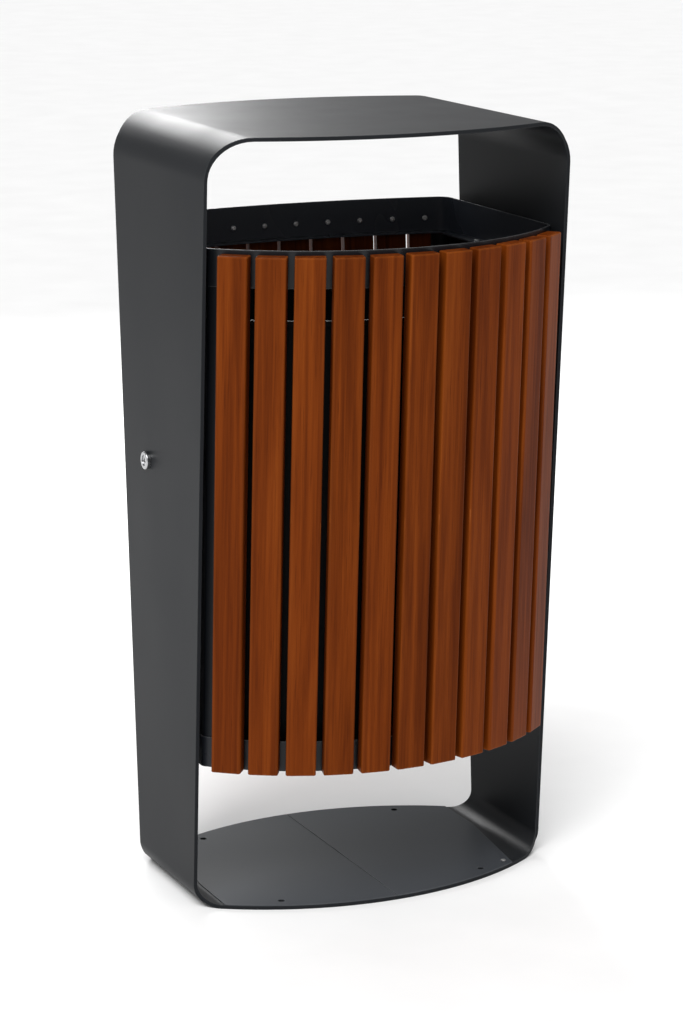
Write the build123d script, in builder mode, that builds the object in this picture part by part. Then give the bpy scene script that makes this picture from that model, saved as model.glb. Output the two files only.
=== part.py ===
"""Street litter bin: a bent-steel loop frame that carries a slatted, tilting body on two side pivots.

Millimetres. Origin on the ground under the middle of the bin, +Z up, front of the bin towards -Y.
"""
import os
from math import atan2, cos, degrees, hypot, pi, sin, sqrt

from build123d import *

os.makedirs("parts", exist_ok=True)

# ---------------------------------------------------------------- loop frame
frame_width = 504.0
frame_height = 1000.0
frame_sheet = 5.0
top_bend = 56.0                  # outer radius of the two upper bends
base_bend = 32.0                 # outer radius of the two lower bends
side_half_depth_low = 93.0       # half depth of a side plate at the ground
side_half_depth_high = 156.0     # and at the full height
top_half_depth = 217.0           # half depth of the top plate on the middle line
base_half_depth = 178.0
plate_face = frame_width / 2 - frame_sheet     # inner face of a side plate

# ---------------------------------------------------------------- base covers
cover_sheet = 1.0
cover_seam = 0.5                 # half of the joint between the two covers
cover_end_x = 217.0              # square part of the outer end
cover_slant_x = 194.0            # where the slanted part of the end meets the edge
cover_slant_y = -132.0
cover_corner_y = 30.0
anchor_x, anchor_y = 145.0, 132.0
anchor_hole_radius = 4.5
cover_screw_x, cover_screw_y = 186.0, -119.0

# ---------------------------------------------------------------- slatted body
ring_top = 862.0
rim_low = 815.0
ring_bottom = 190.0
bottom_band_top = 230.0
ring_sheet = 2.0
lean = 0.052                     # run of the front and rear per unit of height
front_apex_high = 230.0          # front of the rings on the middle line, at ring_top
rear_apex_high = 195.0
front_radius = 332.0             # plan radius of the front of the rings
rear_radius = 1010.0
ring_half_width = 238.0
front_corner, rear_corner = 8.0, 20.0
rim_flange = 18.0
bottom_flange = 45.0

# ---------------------------------------------------------------- slats
front_count, rear_count = 11, 10
front_slat_width, rear_slat_width = 38.4, 41.4
slat_thickness = 20.0
slat_low, slat_high = 190.0, 856.5
slat_edge = 3.0
slat_end_edge = 1.6
front_pitch = 7.88               # degrees between neighbours on the front arc
rear_pitch = degrees(46.2 / rear_radius)
rim_screw_z, bottom_screw_z = 834.0, 211.0
screw_radius, screw_head_radius = 2.0, 3.6
screw_head_height, screw_grip = 2.2, 12.0
fit_slack = 0.05                 # radial room of a screw in its hole

# ---------------------------------------------------------------- pivots and lock
pivot_z = 564.0
pivot_radius = 8.0
spacer_radius = 14.0
bush_radius = 11.0
pivot_gap = 0.4                  # free play between the turning and the fixed faces
lock_y = 45.0
lock_radius = 10.0
lock_flange_radius = 11.8
lock_proud = 6.0
plug_radius = 7.0
cam_length, cam_half_width, cam_thickness = 27.0, 7.0, 2.5
keeper_gap = 1.5                 # free space between the closed cam and the keeper's lug
keeper_y, keeper_depth, keeper_thickness = 62.0, 14.0, 6.0

# ---------------------------------------------------------------- liner
liner_inset = 31.0
liner_sheet = 1.5
liner_floor_z = ring_bottom + ring_sheet + 0.5
liner_top = 770.0
liner_rim_width, liner_rim_height = 4.0, 6.0
grip_length, grip_height, grip_z = 90.0, 24.0, 735.0


def side_half_depth(z):
    """Half depth of a side plate of the loop at height z."""
    return side_half_depth_low + (side_half_depth_high - side_half_depth_low) * z / frame_height


def arc_radius(apex, reach, edge):
    """Radius of the plan arc through (0, apex) and (reach, edge)."""
    rise = apex - edge
    return (reach ** 2 + rise ** 2) / (2 * rise)


def save(builder, label):
    builder.part.label = label
    export_step(builder.part, f"parts/{label}.step")


def body_section(z, inset):
    """Plan outline of the slatted body at height z, pulled in by inset."""
    drop = lean * (ring_top - z)
    front, rear = -(front_apex_high - drop), rear_apex_high - drop
    front_r, rear_r = front_radius - inset, rear_radius - inset
    half = ring_half_width - inset
    front_centre, rear_centre = front + front_radius, rear - rear_radius
    front_y = front_centre - sqrt(front_r ** 2 - half ** 2)
    rear_y = rear_centre + sqrt(rear_r ** 2 - half ** 2)
    with BuildSketch(Plane.XY.offset(z)) as section:
        with BuildLine():
            ThreePointArc((-half, front_y), (0, front_centre - front_r), (half, front_y))
            Line((half, front_y), (half, rear_y))
            ThreePointArc((half, rear_y), (0, rear_centre + rear_r), (-half, rear_y))
            Line((-half, rear_y), (-half, front_y))
        make_face()
        corners = section.vertices().sort_by(Axis.Y)
        fillet(corners[:2], radius=max(front_corner - inset, 2.0))
        fillet(section.vertices().sort_by(Axis.Y)[-2:], radius=max(rear_corner - inset, 4.0))
    return section.sketch


def body_block(low, high, inset):
    """Solid of the body's shape between two heights."""
    return loft([body_section(low, inset).face(), body_section(high, inset).face()], ruled=True)


def front_frame(index, z):
    """Plane on the front of the rings behind one slat, its Z axis pointing out of the bin."""
    angle = (index - (front_count - 1) / 2) * front_pitch * pi / 180
    centre = -(front_apex_high - lean * (ring_top - z)) + front_radius
    return Plane(
        origin=(front_radius * sin(angle), centre - front_radius * cos(angle), z),
        x_dir=(cos(angle), sin(angle), 0),
        z_dir=(sin(angle), -cos(angle), 0),
    )


def rear_frame(index, z):
    """The same for a slat of the rear."""
    angle = (index - (rear_count - 1) / 2) * rear_pitch * pi / 180
    centre = rear_apex_high - lean * (ring_top - z) - rear_radius
    return Plane(
        origin=(rear_radius * sin(angle), centre + rear_radius * cos(angle), z),
        x_dir=(-cos(angle), sin(angle), 0),
        z_dir=(sin(angle), cos(angle), 0),
    )


def slat_frames(z):
    fronts = [front_frame(index, z) for index in range(front_count)]
    rears = [rear_frame(index, z) for index in range(rear_count)]
    return fronts + rears


# ---------------------------------------------------------------- the loop
with BuildPart() as loop_frame:
    with BuildSketch(Plane.XZ) as loop_outline:
        with Locations((0, frame_height / 2)):
            Rectangle(frame_width, frame_height)
        # on this plane the sketch's own Y axis is the bin's Z
        fillet(loop_outline.vertices().sort_by(Axis.Y)[:2], radius=base_bend)
        fillet(loop_outline.vertices().sort_by(Axis.Y)[-2:], radius=top_bend)
        offset(amount=-frame_sheet, mode=Mode.SUBTRACT)
    extrude(amount=top_half_depth + 10, both=True)

with BuildPart() as loop_depth:
    with BuildSketch(Plane.YZ):
        Polygon(
            (-side_half_depth_low, 0), (side_half_depth_low, 0),
            (side_half_depth_high, frame_height), (-side_half_depth_high, frame_height),
            align=None,
        )
    extrude(amount=frame_width / 2, both=True)
    for low, high, apex in (
        (frame_height - top_bend, frame_height, top_half_depth),
        (0, base_bend, base_half_depth),
    ):
        meeting = side_half_depth(low if low else high)
        radius = arc_radius(apex, plate_face, meeting)
        with BuildSketch(Plane.XY.offset(low)) as lens:
            with Locations((0, apex - radius)):
                Circle(radius)
            with Locations((0, radius - apex)):
                Circle(radius, mode=Mode.INTERSECT)
        extrude(lens.sketch, amount=high - low)

anchor_spots = [(sx * anchor_x, sy * anchor_y) for sx in (-1, 1) for sy in (-1, 1)]
cover_screw_spots = [(cover_screw_x, cover_screw_y), (-cover_screw_x, -cover_screw_y)]
lock_plane = Plane(origin=(-frame_width / 2, lock_y, pivot_z), x_dir=(0, -1, 0), z_dir=(-1, 0, 0))

with BuildPart() as bent_loop:
    add(loop_frame.part)
    add(loop_depth.part, mode=Mode.INTERSECT)
    with Locations(*[(x, y, 0) for x, y in anchor_spots]):
        Cylinder(anchor_hole_radius, 3 * frame_sheet, mode=Mode.SUBTRACT)
    with Locations(*[(x, y, 0) for x, y in cover_screw_spots]):
        Cylinder(screw_radius + fit_slack, 3 * frame_sheet, mode=Mode.SUBTRACT)
    with Locations(lock_plane):
        Cylinder(lock_radius + fit_slack, 3 * frame_sheet, mode=Mode.SUBTRACT)
save(bent_loop, "loop_frame")

# ---------------------------------------------------------------- base covers, two halves of one pattern
with BuildPart() as cover_right:
    with BuildSketch(Plane.XY.offset(frame_sheet)) as cover_outline:
        base_radius = arc_radius(base_half_depth, plate_face, side_half_depth(base_bend))
        with Locations((0, base_half_depth - base_radius)):
            Circle(base_radius)
        with Locations((0, base_radius - base_half_depth)):
            Circle(base_radius, mode=Mode.INTERSECT)
        with BuildLine():
            slope = (cover_end_x - cover_slant_x) / (cover_corner_y - cover_slant_y)
            front_x = cover_slant_x - slope * (base_half_depth + cover_slant_y)
            Polyline(
                (cover_seam, -base_half_depth), (front_x, -base_half_depth),
                (cover_end_x, cover_corner_y), (cover_end_x, base_half_depth),
                (cover_seam, base_half_depth), close=True,
            )
        make_face(mode=Mode.INTERSECT)
        bend_corner = cover_outline.vertices().sort_by_distance((cover_end_x, cover_corner_y, 0))[0]
        fillet(bend_corner, radius=120)
    extrude(amount=cover_sheet)
    with Locations(*[(x, y, frame_sheet) for x, y in anchor_spots]):
        Cylinder(anchor_hole_radius, 3 * cover_sheet, mode=Mode.SUBTRACT)
    with Locations(*[(x, y, frame_sheet) for x, y in cover_screw_spots]):
        Cylinder(screw_radius + fit_slack, 3 * cover_sheet, mode=Mode.SUBTRACT)
save(cover_right, "base_cover_right")

with BuildPart() as cover_left:
    add(cover_right.part, rotation=(0, 0, 180))
save(cover_left, "base_cover_left")

# ---------------------------------------------------------------- fasteners
with BuildPart() as pan_screw:
    # head below the local origin, shank above it
    Cylinder(screw_head_radius, screw_head_height, align=(Align.CENTER, Align.CENTER, Align.MAX))
    fillet(pan_screw.edges().sort_by(Axis.Z)[0], radius=1.4)
    Cylinder(screw_radius, screw_grip, align=(Align.CENTER, Align.CENTER, Align.MIN))
    with BuildSketch(Plane.XY.offset(-screw_head_height)):
        RegularPolygon(1.3, 6)
    extrude(amount=1.1, mode=Mode.SUBTRACT)

with BuildPart() as cover_screw:
    Cylinder(screw_head_radius, 1.6, align=(Align.CENTER, Align.CENTER, Align.MIN))
    fillet(cover_screw.edges().sort_by(Axis.Z)[-1], radius=1.0)
    Cylinder(screw_radius, frame_sheet + cover_sheet, align=(Align.CENTER, Align.CENTER, Align.MAX))

with BuildPart() as cover_screws:
    with Locations(*[(x, y, frame_sheet + cover_sheet) for x, y in cover_screw_spots]):
        add(cover_screw.part)
save(cover_screws, "base_cover_screws")


def screw_row(z, label):
    """One screw per slat, driven from inside the ring into the back of the slat."""
    seat = ring_sheet + lean * screw_head_radius + 0.02    # the band leans, the screws are level
    inner = [plane.offset(-seat) for plane in slat_frames(z)]
    with BuildPart() as row:
        with Locations(*inner):
            add(pan_screw.part)
    save(row, label)


screw_row(rim_screw_z, "rim_screws")
screw_row(bottom_screw_z, "bottom_ring_screws")

# ---------------------------------------------------------------- rings of the body


def ring(low, high, flange_width, screw_z, label):
    """Upright band with a flat flange turned inwards along its lower edge."""
    outer, inner = body_block(low, high, 0), body_block(low + ring_sheet, high, ring_sheet)
    hole = body_block(low, high, ring_sheet + flange_width)
    with BuildPart() as band:
        add(outer)
        add(inner, mode=Mode.SUBTRACT)
        add(hole, mode=Mode.SUBTRACT)
        with Locations(*[plane.offset(-ring_sheet / 2) for plane in slat_frames(screw_z)]):
            Cylinder(screw_radius + fit_slack, 3 * ring_sheet, mode=Mode.SUBTRACT)
        with Locations(*panel_rivet_spots(low)):
            Cylinder(screw_radius + fit_slack, 3 * ring_sheet, mode=Mode.SUBTRACT)
    save(band, label)
    return band


panel_rivet_x = ring_half_width - ring_sheet - 9.0
panel_rivet_y = 55.0


def panel_rivet_spots(low):
    """Middles of the four rivets that join a ring's flange to the two side panels."""
    joint = low if low > pivot_z else low + ring_sheet
    return [(sx * panel_rivet_x, sy * panel_rivet_y, joint) for sx in (-1, 1) for sy in (-1, 1)]


rim_ring = ring(rim_low, ring_top, rim_flange, rim_screw_z, "rim_ring")
bottom_ring = ring(ring_bottom, bottom_band_top, bottom_flange, bottom_screw_z, "bottom_ring")

# ---------------------------------------------------------------- side panels wrapped round the body's corners
panel_low, panel_high = ring_bottom + ring_sheet, rim_low
panel_face = ring_half_width - ring_sheet
panel_front_reach, panel_rear_reach = 222.0, 214.0     # how near the middle plane the wrapped ends come
turn_front, turn_rear = -85.0, 98.0                    # ends of the turned-in edge at the panel's foot
panel_turn = 16.0
wall_outer = body_block(panel_low, panel_high, ring_sheet)
wall_inner = body_block(panel_low, panel_high, 2 * ring_sheet)


def side_panel(side, label):
    grow = lean * (panel_high - panel_low)
    with BuildPart() as panel:
        add(wall_outer)
        add(wall_inner, mode=Mode.SUBTRACT)
        with BuildSketch(Plane.XY.offset(panel_low)) as kept:
            for reach, way in ((panel_front_reach, -1), (panel_rear_reach, 1)):
                with Locations((side * (reach + frame_width) / 2, way * frame_width / 2)):
                    Rectangle(frame_width - reach, frame_width)
        extrude(kept.sketch, amount=panel_high - panel_low, mode=Mode.INTERSECT)
        for z, spread in ((panel_low, 0.0), (panel_high - ring_sheet, grow)):
            middle = (side * (panel_face - panel_turn / 2), (turn_front + turn_rear) / 2, z)
            with Locations(middle):
                Box(
                    panel_turn, turn_rear - turn_front + 2 * spread, ring_sheet,
                    align=(Align.CENTER, Align.CENTER, Align.MIN),
                )
        for low in (rim_low, ring_bottom):
            with Locations(*panel_rivet_spots(low)):
                Cylinder(screw_radius + fit_slack, 3 * ring_sheet, mode=Mode.SUBTRACT)
        with Locations((side * panel_face, 0, pivot_z)):
            Cylinder(bush_radius, 4 * ring_sheet, rotation=(0, 90, 0), mode=Mode.SUBTRACT)
    save(panel, label)


side_panel(-1, "side_panel_left")
side_panel(1, "side_panel_right")

with BuildPart() as rivet:
    # two sheets of ring_sheet meet at the local origin
    Cylinder(screw_radius, 2 * ring_sheet)
    for way in (1, -1):
        with Locations((0, 0, way * (ring_sheet + 0.6))):
            Cylinder(screw_head_radius, 1.2)
    fillet(rivet.edges().filter_by(GeomType.CIRCLE).sort_by(Axis.Z)[-1], radius=0.8)
    fillet(rivet.edges().filter_by(GeomType.CIRCLE).sort_by(Axis.Z)[0], radius=0.8)

with BuildPart() as panel_rivets:
    for low in (rim_low, ring_bottom):
        with Locations(*panel_rivet_spots(low)):
            add(rivet.part)
save(panel_rivets, "panel_rivets")

# ---------------------------------------------------------------- slats


def slat(foot, way, width, label):
    """Straight slat with rounded edges, leaning outwards; foot is its back plane at slat_low."""
    height = slat_high - slat_low
    run = way * lean * height
    with BuildPart() as strip:
        with BuildSketch(Plane.XY.offset(slat_low)):
            spot = foot.offset(slat_thickness / 2).origin
            turn = degrees(atan2(foot.x_dir.Y, foot.x_dir.X))
            with Locations(Location((spot.X, spot.Y), turn)):
                section = Rectangle(width, slat_thickness)
            fillet(section.vertices(), radius=slat_edge)
        extrude(amount=hypot(height, run), dir=(0, run, height))
        ends = strip.faces().filter_by(Axis.Z)
        fillet(ends.edges(), radius=slat_end_edge)
        for z in (rim_screw_z, bottom_screw_z):
            shift = way * lean * (z - slat_low)
            origin = foot.origin + Vector(0, shift, z - slat_low)
            with Locations(Plane(origin=origin, x_dir=foot.x_dir, z_dir=foot.z_dir)):
                Cylinder(screw_radius + fit_slack, 2 * screw_grip - 2, mode=Mode.SUBTRACT)
    save(strip, label)


for index in range(front_count):
    slat(front_frame(index, slat_low), -1, front_slat_width, f"front_slat_{index + 1:02d}")
for index in range(rear_count):
    slat(rear_frame(index, slat_low), 1, rear_slat_width, f"rear_slat_{index + 1:02d}")

# ---------------------------------------------------------------- pivots
bush_outer_face = panel_face + 1.0
bush_inner_face = panel_face - ring_sheet - 3.0
stud_end = bush_inner_face - 9.0
nut_width, nut_height = 24.0, 7.0


def along_x(side, near, far, radius, mode=Mode.ADD):
    """Cylinder about the pivot axis between two distances from the middle plane."""
    with Locations((side * (near + far) / 2, 0, pivot_z)):
        Cylinder(radius, far - near, rotation=(0, 90, 0), mode=mode)


def pivot_parts(side, name):
    with BuildPart() as stud:
        along_x(side, stud_end, plate_face, pivot_radius)
        along_x(side, bush_outer_face + pivot_gap, plate_face, spacer_radius)
    save(stud, f"pivot_stud_{name}")
    with BuildPart() as bush:
        along_x(side, bush_inner_face, panel_face, bush_radius)
        along_x(side, panel_face, bush_outer_face, spacer_radius)
        along_x(side, stud_end, plate_face, pivot_radius + fit_slack, mode=Mode.SUBTRACT)
    save(bush, f"pivot_bush_{name}")
    nut_face = side * (bush_inner_face - pivot_gap)
    with BuildPart() as nut:
        with BuildSketch(Plane(origin=(nut_face, 0, pivot_z), x_dir=(0, 1, 0), z_dir=(-side, 0, 0))):
            RegularPolygon(nut_width / 2, 6)
            Circle(pivot_radius, mode=Mode.SUBTRACT)
        extrude(amount=nut_height)
    save(nut, f"pivot_nut_{name}")


pivot_parts(-1, "left")
pivot_parts(1, "right")

# ---------------------------------------------------------------- lock in the left side plate
lock_nut_height = 3.0
barrel_end = lock_nut_height + 0.4             # how far the barrel stands inside the plate
inner_plane = Plane(origin=(-plate_face, lock_y, pivot_z), x_dir=(0, 1, 0), z_dir=(1, 0, 0))

with BuildPart() as lock_barrel:
    with Locations(lock_plane):
        Cylinder(lock_flange_radius, lock_proud, align=(Align.CENTER, Align.CENTER, Align.MIN))
    fillet(lock_barrel.edges().sort_by(Axis.X)[0], radius=1.5)
    with Locations(inner_plane):
        Cylinder(lock_radius, barrel_end, align=(Align.CENTER, Align.CENTER, Align.MIN))
        Cylinder(lock_radius, frame_sheet, align=(Align.CENTER, Align.CENTER, Align.MAX))
        Cylinder(plug_radius + fit_slack, 40, mode=Mode.SUBTRACT)
save(lock_barrel, "lock_barrel")

with BuildPart() as lock_nut:
    with BuildSketch(inner_plane):
        RegularPolygon(13.0, 6)
        Circle(lock_radius, mode=Mode.SUBTRACT)
    extrude(amount=lock_nut_height)
save(lock_nut, "lock_nut")

cam_near = barrel_end + 0.4
with BuildPart() as lock_plug:
    with Locations(inner_plane):
        Cylinder(plug_radius, frame_sheet + lock_proud - 1.2, align=(Align.CENTER, Align.CENTER, Align.MAX))
        Cylinder(plug_radius, cam_near, align=(Align.CENTER, Align.CENTER, Align.MIN))
    key_face = Plane(origin=(-frame_width / 2 - lock_proud + 1.2, lock_y, pivot_z), z_dir=(1, 0, 0))
    with BuildSketch(key_face):
        RegularPolygon(4.6, 3)
    extrude(amount=5.0, mode=Mode.SUBTRACT)
    with BuildSketch(key_face.offset(5.0)):
        Circle(1.6)
    extrude(amount=-4.2)
save(lock_plug, "lock_plug")

with BuildPart() as lock_cam:
    with BuildSketch(inner_plane.offset(cam_near)):
        Circle(cam_half_width + 1)
        with Locations((0, cam_length / 2)):
            Rectangle(2 * cam_half_width, cam_length)
    extrude(amount=cam_thickness)
    tip = lock_cam.edges().filter_by(Axis.X).sort_by(Axis.Z)[-2:]
    fillet(tip, radius=3.0)
save(lock_cam, "lock_cam")

with BuildPart() as lock_keeper:
    # one lug under the closed cam: the body can't tip forward, and the cam swings in from above
    lug_near, lug_far = panel_face, plate_face - 3.0
    foot_sheet, foot_height = 2.0, 20.0
    lug_top = pivot_z - cam_half_width - keeper_gap
    lug_bottom = lug_top - keeper_thickness
    keeper_middle = keeper_y + keeper_depth / 2
    with Locations((-(lug_near + lug_far) / 2, keeper_middle, lug_bottom)):
        Box(lug_far - lug_near, keeper_depth, keeper_thickness, align=(Align.CENTER, Align.CENTER, Align.MIN))
    with Locations((-(panel_face + foot_sheet / 2), keeper_middle, lug_bottom)):
        Box(foot_sheet, keeper_depth, foot_height, align=(Align.CENTER, Align.CENTER, Align.MIN))
save(lock_keeper, "lock_keeper")

# ---------------------------------------------------------------- liner
grip_plane_x = ring_half_width - liner_inset
tub_outer = body_block(liner_floor_z, liner_top, liner_inset)
tub_inner = body_block(liner_floor_z + liner_sheet, liner_top, liner_inset + liner_sheet)
rim_outer = body_block(liner_top - liner_rim_height, liner_top, liner_inset - liner_rim_width)
with BuildPart() as liner:
    add(tub_outer)
    add(rim_outer)
    add(tub_inner, mode=Mode.SUBTRACT)
    with Locations(*[(side * grip_plane_x, 0, grip_z) for side in (-1, 1)]):
        Box(12, grip_length, grip_height, mode=Mode.SUBTRACT)
    slot_ends = liner.edges().filter_by(Axis.X).filter_by_position(
        Axis.Z, grip_z - grip_height, grip_z + grip_height
    )
    fillet(slot_ends, radius=grip_height / 2 - 1)
save(liner, "liner")
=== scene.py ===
import math
import random

import bmesh
import bpy
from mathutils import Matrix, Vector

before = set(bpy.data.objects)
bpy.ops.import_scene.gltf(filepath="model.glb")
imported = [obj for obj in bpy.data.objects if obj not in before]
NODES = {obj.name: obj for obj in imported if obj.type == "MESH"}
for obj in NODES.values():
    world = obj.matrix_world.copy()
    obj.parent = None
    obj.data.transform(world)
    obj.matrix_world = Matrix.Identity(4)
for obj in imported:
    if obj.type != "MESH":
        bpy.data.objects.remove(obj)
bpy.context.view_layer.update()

LEAN = math.atan(0.052)             # the slats lean outwards by this angle
WORN_GREY_AND_SHEEN = (0.2, 0.205, 0.21, 1.0)            # coat rubbed thin along an edge, and a painted highlight along edges
WOOD_DARK = (0.095, 0.0155, 0.0020, 1.0)       # slow drift of the stain
WOOD_PORE = (0.045, 0.0075, 0.0015, 1.0)
WOOD_EDGE_RUB_AND_SHEEN = (0.42, 0.13, 0.025, 1.0)           # stain rubbed off a slat's edges, and a painted highlight along them

# ---------------------------------------------------------------- material helpers


class Shader:
    """A material with a Principled shader and short calls for adding nodes to it."""

    def __init__(self, name, **values):
        self.material = bpy.data.materials.new(name)
        self.material.use_nodes = True
        self.tree = self.material.node_tree
        self.principled = self.tree.nodes["Principled BSDF"]
        for socket, value in values.items():
            self.principled.inputs[socket.replace("_", " ")].default_value = value

    def node(self, kind, inputs=None, **settings):
        made = self.tree.nodes.new(kind)
        for key, value in settings.items():
            setattr(made, key, value)
        for socket, value in (inputs or {}).items():
            if isinstance(value, bpy.types.NodeSocket):
                self.tree.links.new(value, made.inputs[socket])
            else:
                made.inputs[socket].default_value = value
        return made

    def feed(self, socket, source):
        """Links a node's output to a socket of the Principled shader."""
        self.tree.links.new(source, self.principled.inputs[socket])

    def place(self, scale, turn=(0, 0, 0), shift=(0, 0, 0)):
        """Object coordinates in metres, turned, moved and scaled."""
        coordinates = self.node("ShaderNodeTexCoord")
        turned = self.node(
            "ShaderNodeMapping",
            {"Vector": coordinates.outputs["Object"], "Rotation": turn, "Location": shift},
        )
        scaled = self.node("ShaderNodeMapping", {"Vector": turned.outputs[0], "Scale": scale})
        return scaled.outputs[0]

    def noise(self, vector, scale=1.0, detail=4.0, roughness=0.5, distortion=0.0):
        """Noise value, about 0.3 to 0.7 over most of its area."""
        return self.node("ShaderNodeTexNoise", {
            "Vector": vector, "Scale": scale, "Detail": detail, "Roughness": roughness,
            "Distortion": distortion,
        }).outputs["Fac"]

    def ramp(self, source, stops):
        """Colour ramp; stops are (position, colour)."""
        made = self.node("ShaderNodeValToRGB", {"Fac": source})
        elements = made.color_ramp.elements
        for index, (position, colour) in enumerate(stops):
            element = elements[index] if index < 2 else elements.new(position)
            element.position = position
            element.color = (*colour, 1.0)
        return made.outputs["Color"]

    def span(self, source, low, high, to_low, to_high):
        """Maps low..high to to_low..to_high and clamps outside."""
        return self.node("ShaderNodeMapRange", {
            "Value": source, "From Min": low, "From Max": high, "To Min": to_low, "To Max": to_high,
        }).outputs["Result"]

    def mix(self, factor, first, second, blend="MIX"):
        made = self.node("ShaderNodeMix", data_type="RGBA", blend_type=blend)
        sockets = (made.inputs[0], made.inputs[6], made.inputs[7])      # factor and the two colours
        for socket, value in zip(sockets, (factor, first, second)):
            if isinstance(value, bpy.types.NodeSocket):
                self.tree.links.new(value, socket)
            else:
                socket.default_value = value
        return made.outputs[2]

    def bump(self, height, strength, distance):
        made = self.node(
            "ShaderNodeBump", {"Height": height, "Strength": strength, "Distance": distance})
        self.feed("Normal", made.outputs["Normal"])

    def edge(self, radius, low, high):
        """1 along convex edges, 0 on flat faces."""
        rounded = self.node("ShaderNodeBevel", {"Radius": radius}, samples=4).outputs["Normal"]
        flat = self.node("ShaderNodeNewGeometry").outputs["Normal"]
        dot = self.node("ShaderNodeVectorMath", {0: rounded, 1: flat}, operation="DOT_PRODUCT")
        return self.span(dot.outputs["Value"], high, low, 0.0, 1.0)


def coat(name, base, roughness, specular, grain, wear_and_sheen, rear_painted_light=None):
    """Powder-coated steel: fine orange-peel bump, faint clouding and paler edges, partly rubbed coat
    and partly painted highlight.

    With a rear colour given, the coat is painted paler towards the rear (+Y): painted light on the rear
    band's inside face.
    """
    made = Shader(name, Specular_IOR_Level=specular)
    clouds = made.noise(made.place((5, 5, 3)), detail=3)
    fine = made.noise(made.place((1, 1, 1)), scale=900.0, detail=2)
    speck = made.noise(made.place((1, 1, 1)), scale=2600.0, detail=1)
    dark = tuple(0.88 * value for value in base)
    light = tuple(1.12 * value for value in base)
    body = made.ramp(clouds, [(0.3, dark), (0.7, light)])
    if rear_painted_light:
        # painted light: blends to the paler rear colour along Y
        middle = made.node("ShaderNodeSeparateXYZ", {"Vector": made.place((1, 1, 1))}).outputs["Y"]
        body = made.mix(made.span(middle, -0.12, 0.10, 0.0, 1.0), body, (*rear_painted_light, 1.0))
    fleck_colour = (*[2.2 * value for value in base], 1.0)
    flecked = made.mix(made.span(speck, 0.58, 0.75, 0.0, 0.35), body, fleck_colour)
    # paler edges: partly rubbed coat, partly painted highlight
    edges = made.edge(0.0016, 0.75, 0.99)
    broken = made.node("ShaderNodeMath", {0: edges, 1: made.span(clouds, 0.35, 0.65, 0.35, 1.0)},
                       operation="MULTIPLY").outputs[0]
    wear_and_sheen_mask = made.node("ShaderNodeMath", {0: broken, 1: wear_and_sheen}, operation="MULTIPLY").outputs[0]
    made.feed("Base Color", made.mix(wear_and_sheen_mask, flecked, WORN_GREY_AND_SHEEN))
    made.feed("Roughness", made.span(clouds, 0.3, 0.7, roughness - 0.04, roughness + 0.05))
    made.bump(fine, grain, 0.0002)
    return made.material


def metal(name, base, roughness, scratch_scale=(400, 400, 40), metallic=1.0):
    """Bright fastener steel with fine turning marks."""
    made = Shader(name, Metallic=metallic)
    marks = made.noise(made.place(scratch_scale), detail=4)
    stain = made.noise(made.place((60, 60, 60)), detail=2)
    dull = tuple(0.72 * value for value in base)
    made.feed("Base Color", made.ramp(stain, [(0.35, dull), (0.65, base)]))
    made.feed("Roughness", made.span(marks, 0.3, 0.7, roughness - 0.07, roughness + 0.1))
    made.bump(marks, 0.15, 0.0001)
    return made.material


def plastic(name, base, roughness):
    """Matt moulded nylon."""
    made = Shader(name)
    cloud = made.noise(made.place((40, 40, 40)), detail=3)
    dark = tuple(0.8 * value for value in base)
    made.feed("Base Color", made.ramp(cloud, [(0.3, dark), (0.7, base)]))
    made.feed("Roughness", made.span(cloud, 0.3, 0.7, roughness - 0.05, roughness + 0.08))
    made.bump(made.noise(made.place((1, 1, 1)), scale=1500.0, detail=2), 0.1, 0.0001)
    return made.material


def timber(name, way, rng):
    """Stained hardwood with its grain along a leaning slat; way is -1 in front and 1 behind.

    Each slat is cut from another place in the wood.
    """
    made = Shader(name, Specular_IOR_Level=0.04)
    shift = tuple(rng.uniform(-4.0, 4.0) for _ in range(3))
    turn = (way * LEAN, 0.0, rng.uniform(-0.1, 0.1))
    tone = rng.uniform(0.9, 1.1)
    figure = made.noise(made.place((34, 34, 1.5), turn, shift),
                        detail=5, roughness=0.55, distortion=1.1)
    streak = made.noise(made.place((160, 160, 3.2), turn, shift),
                        detail=6, roughness=0.6, distortion=0.3)
    pores = made.noise(made.place((900, 900, 16), turn, shift), detail=2, roughness=0.6)
    drift = made.noise(made.place((4, 4, 2.2), turn, shift), detail=2)
    both = made.node("ShaderNodeMath", {
        0: made.span(figure, 0, 1, 0, 0.55), 1: made.span(streak, 0, 1, 0, 0.45),
    }, operation="ADD").outputs[0]
    browns = [
        (0.34, (0.066 * tone, 0.0115 * tone, 0.0012 * tone)),
        (0.46, (0.115 * tone, 0.0220 * tone, 0.0021 * tone)),
        (0.54, (0.155 * tone, 0.0310 * tone, 0.0030 * tone)),
        (0.68, (0.220 * tone, 0.0500 * tone, 0.0056 * tone)),
    ]
    body = made.ramp(both, browns)
    toned = made.mix(made.span(drift, 0.35, 0.65, 0.0, 0.28), body, WOOD_DARK)
    pored = made.mix(made.span(pores, 0.58, 0.72, 0.0, 0.5), toned, WOOD_PORE)
    # paler edges: partly rubbed stain, partly painted highlight
    edges = made.edge(0.003, 0.80, 0.995)
    made.feed("Base Color", made.mix(made.span(edges, 0, 1, 0, 0.60), pored, WOOD_EDGE_RUB_AND_SHEEN))
    made.feed("Roughness", made.span(both, 0.3, 0.7, 0.46, 0.36))
    grooves = made.node("ShaderNodeMath", {0: streak, 1: pores}, operation="ADD").outputs[0]
    made.bump(grooves, 0.22, 0.0004)
    return made.material
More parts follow.
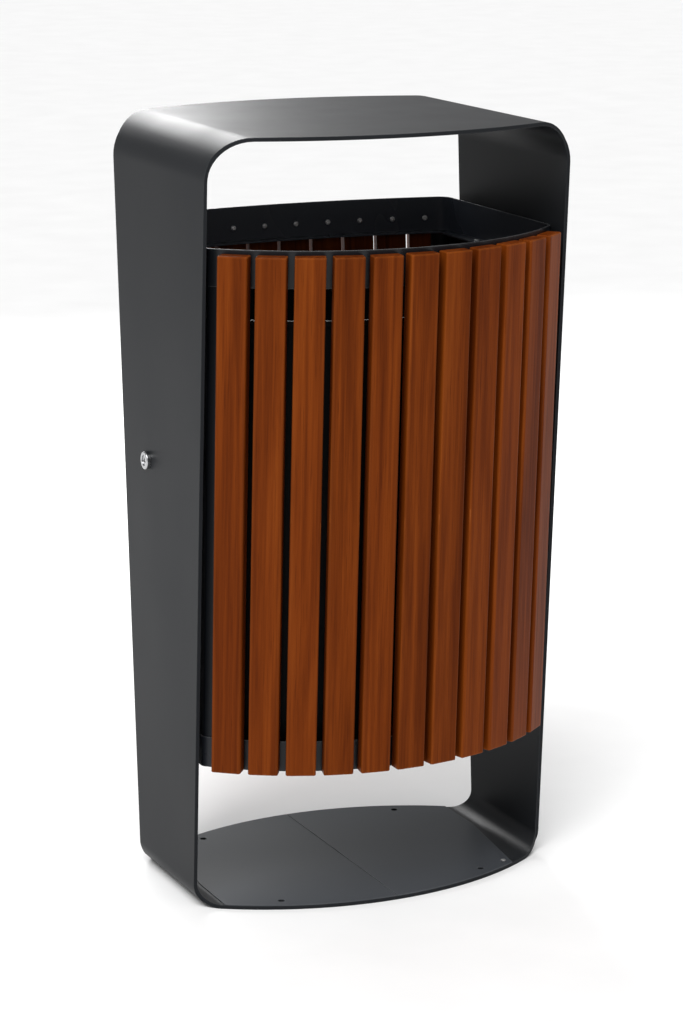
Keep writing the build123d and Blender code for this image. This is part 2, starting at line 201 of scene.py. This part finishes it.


# ---------------------------------------------------------------- looks of the CAD nodes
# coat: name, colour, roughness, specular level, bump strength, edge wear (partly painted highlight),
# colour at the rear (painted light)
frame_coat = coat("frame_coat", (0.0140, 0.0152, 0.0172), 0.38, 0.05, 0.10, 0.30)
# painted light: the base covers get a paler copy of the anthracite coat, standing in for the light the
# bin's floor catches
cover_coat_painted_light = coat("cover_coat_painted_light", (0.0400, 0.0440, 0.0510), 0.40, 0.05, 0.10, 0.80)
# ring_coat's high edge value paints a highlight along the flange edges
ring_coat = coat("ring_coat", (0.0060, 0.0070, 0.0090), 0.28, 0.30, 0.06, 0.80,
                 rear_painted_light=(0.0500, 0.0580, 0.0750))
panel_coat = coat("panel_coat", (0.0060, 0.0070, 0.0090), 0.34, 0.20, 0.06, 0.40)
liner_coat = coat("liner_coat", (0.0035, 0.0035, 0.0040), 0.55, 0.2, 0.10, 0.05)
fastener_steel = metal("fastener_steel", (0.97, 0.97, 0.97), 0.30, metallic=0.75)
lock_metal = metal("lock_metal", (0.50, 0.50, 0.51), 0.24, (300, 300, 300))
cover_screw_steel = metal("cover_screw_steel", (0.42, 0.42, 0.42), 0.40)
bush_nylon = plastic("bush_nylon", (0.022, 0.022, 0.023), 0.5)

LOOKS = {
    "loop_frame": frame_coat, "base_cover_left": cover_coat_painted_light, "base_cover_right": cover_coat_painted_light,
    "base_cover_screws": cover_screw_steel,
    "rim_ring": ring_coat, "bottom_ring": ring_coat,
    "side_panel_left": panel_coat, "side_panel_right": panel_coat, "lock_keeper": panel_coat,
    "rim_screws": fastener_steel, "bottom_ring_screws": fastener_steel, "panel_rivets": fastener_steel,
    "pivot_stud_left": fastener_steel, "pivot_stud_right": fastener_steel,
    "pivot_nut_left": fastener_steel, "pivot_nut_right": fastener_steel,
    "pivot_bush_left": bush_nylon, "pivot_bush_right": bush_nylon,
    "lock_barrel": lock_metal, "lock_plug": lock_metal,
    "lock_nut": fastener_steel, "lock_cam": fastener_steel,
    "liner": liner_coat,
}
rng = random.Random(449)
for name in sorted(NODES):
    if name.startswith("front_slat"):
        LOOKS[name] = timber("wood_" + name, -1, rng)
    elif name.startswith("rear_slat"):
        LOOKS[name] = timber("wood_" + name, 1, rng)

for name, node in NODES.items():
    node.data.materials.clear()
    node.data.materials.append(LOOKS[name])

# soft edges on the cut sheet and turned parts, widths in metres
EDGE_WIDTHS = {
    "loop_frame": 0.0007, "base_cover_left": 0.0003, "base_cover_right": 0.0003,
    "rim_ring": 0.0004, "bottom_ring": 0.0004, "side_panel_left": 0.0004, "side_panel_right": 0.0004,
    "lock_barrel": 0.0003, "lock_keeper": 0.0004, "pivot_stud_left": 0.0003, "pivot_stud_right": 0.0003,
    "pivot_nut_left": 0.0004, "pivot_nut_right": 0.0004, "liner": 0.0003,
}
for name, width in EDGE_WIDTHS.items():
    node = NODES[name]
    weld = node.modifiers.new("weld", "WELD")
    weld.merge_threshold = 0.00002
    bevel = node.modifiers.new("edge", "BEVEL")
    bevel.width = width
    bevel.segments = 2
    bevel.limit_method = "ANGLE"
    bevel.angle_limit = math.radians(40)
    bevel.use_clamp_overlap = True
    shading = node.modifiers.new("shading", "WEIGHTED_NORMAL")
    shading.keep_sharp = False
    shading.weight = 60

# ---------------------------------------------------------------- floor, light, camera


def floor_disc(radius, rings, steps):
    """Large flat disc under the bin; its rings are narrow in the middle and wide outside."""
    mesh = bmesh.new()
    previous = [mesh.verts.new((0, 0, 0))]
    for ring in range(1, rings + 1):
        reach = radius * (ring / rings) ** 2
        row = [
            mesh.verts.new((reach * math.cos(2 * math.pi * step / steps),
                            reach * math.sin(2 * math.pi * step / steps), 0))
            for step in range(steps)
        ]
        for step in range(steps):
            after = (step + 1) % steps
            if len(previous) == 1:
                mesh.faces.new((previous[0], row[step], row[after]))
            else:
                mesh.faces.new((previous[step], row[step], row[after], previous[after]))
        previous = row
    data = bpy.data.meshes.new("floor")
    mesh.to_mesh(data)
    mesh.free()
    made = bpy.data.objects.new("floor", data)
    bpy.context.scene.collection.objects.link(made)
    return made


floor = floor_disc(60.0, 12, 48)
floor_look = Shader("floor_look", Specular_IOR_Level=0.15)
paper = floor_look.noise(floor_look.place((6, 6, 6)), detail=4)
pale_stops = [(0.3, (0.88, 0.88, 0.88)), (0.7, (0.91, 0.91, 0.91))]
floor_look.feed("Base Color", floor_look.ramp(paper, pale_stops))
floor_look.feed("Roughness", floor_look.span(paper, 0.3, 0.7, 0.8, 0.9))
floor.data.materials.append(floor_look.material)


def area_light(name, place, aim, size, energy):
    """Rectangular lamp at place that shines at aim."""
    data = bpy.data.lights.new(name, "AREA")
    data.shape = "RECTANGLE"
    data.size, data.size_y = size
    data.energy = energy
    made = bpy.data.objects.new(name, data)
    made.location = place
    away = made.location - Vector(aim)
    made.rotation_euler = away.to_track_quat("Z", "Y").to_euler()
    bpy.context.scene.collection.objects.link(made)
    return made


area_light("key", (-2.6, -2.2, 3.0), (0.0, 0.0, 0.6), (1.2, 1.2), 32.0)
area_light("back", (0.45, 3.4, 2.15), (0.0, 0.0, 0.7), (1.5, 1.3), 75.0)

sun_data = bpy.data.lights.new("sun", "SUN")
sun_data.energy = 2.2
sun_data.angle = math.radians(35.0)
sun = bpy.data.objects.new("sun", sun_data)
sun.rotation_euler = Vector((-0.9, -1.1, 2.1)).to_track_quat("Z", "Y").to_euler()
bpy.context.scene.collection.objects.link(sun)

world = bpy.data.worlds.new("studio")
world.use_nodes = True
background = world.node_tree.nodes["Background"]
background.inputs["Color"].default_value = (1.0, 1.0, 1.0, 1.0)
background.inputs["Strength"].default_value = 0.50
bpy.context.scene.world = world
bpy.context.scene.view_settings.view_transform = "Standard"

camera_data = bpy.data.cameras.new("camera")
camera_data.lens = 110.74
camera_data.sensor_width = 36.0
camera_data.clip_end = 200.0
camera = bpy.data.objects.new("camera", camera_data)
camera.location = (-1.6958, -3.6518, 1.4458)
camera.rotation_euler = (math.radians(76.503), 0.0, math.radians(-24.935))
bpy.context.scene.collection.objects.link(camera)
bpy.context.scene.camera = camera
